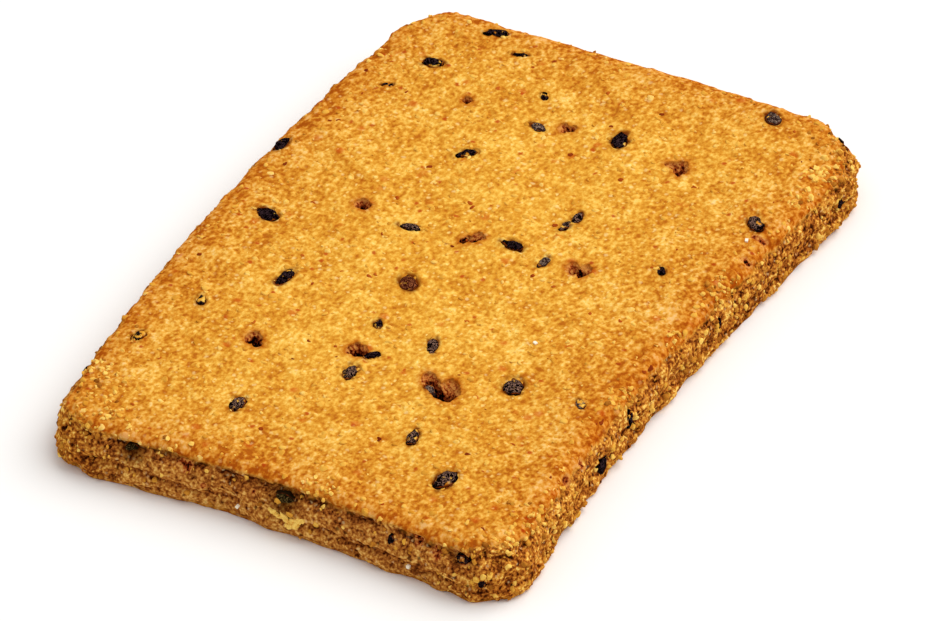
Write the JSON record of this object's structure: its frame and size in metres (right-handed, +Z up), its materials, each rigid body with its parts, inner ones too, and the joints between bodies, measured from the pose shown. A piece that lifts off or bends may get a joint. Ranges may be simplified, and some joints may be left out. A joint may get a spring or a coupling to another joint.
{
  "type": "graham cracker",
  "caption": "Thick rectangular graham cracker with soft corners, crumbly walls, docking holes and chia seeds, lying flat.",
  "frame": {"origin": "middle of the flat underside, at the centre of the bounding box's floor", "axes": "+X along the cracker's length, +Y across it, +Z up from the underside to the docked face"},
  "size_m": [0.0702, 0.0478, 0.0054],
  "materials": {
    "crumb": "baked wholemeal dough: dry, matt, golden brown, darker at the walls"
  },
  "bodies": {
    "root": {"graham_cracker": "crumb"}
  },
  "joints": []
}
